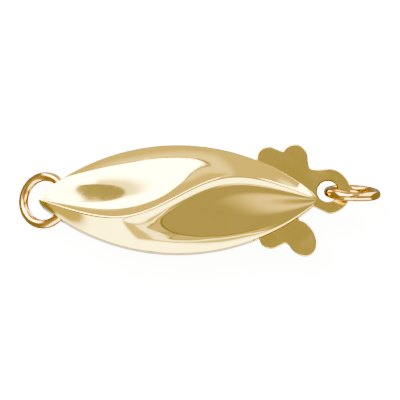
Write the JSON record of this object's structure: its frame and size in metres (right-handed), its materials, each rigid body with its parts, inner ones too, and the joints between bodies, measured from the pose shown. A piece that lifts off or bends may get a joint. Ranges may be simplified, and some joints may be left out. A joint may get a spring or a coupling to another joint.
{
  "type": "pearl clasp",
  "caption": "Hollow marquise pearl clasp of polished gold with a flowing S ridge, a flat hook tab with clover wings and a round eye, and a ring at each end.",
  "frame": {"origin": "centre of the flat land on the housing's back, which rests on a surface", "axes": "+X from the end ring to the hook, +Z away from the back, towards the ornamented side"},
  "size_m": [0.0216, 0.0067, 0.0036],
  "materials": {
    "gold_housing": "gold filled, mirror polished",
    "gold_hook": "gold filled sheet, polished and lightly brushed",
    "gold_ring": "gold filled wire, polished"
  },
  "bodies": {
    "housing": {"housing": "gold_housing", "end_ring": "gold_ring"},
    "hook": {"fish_hook": "gold_hook", "jump_ring": "gold_ring"}
  },
  "joints": [
    {"name": "hook_slide", "type": "slide", "parent": "housing", "child": "hook", "axis": [1, 0, 0], "range_m": [0, 0.0096]}
  ]
}
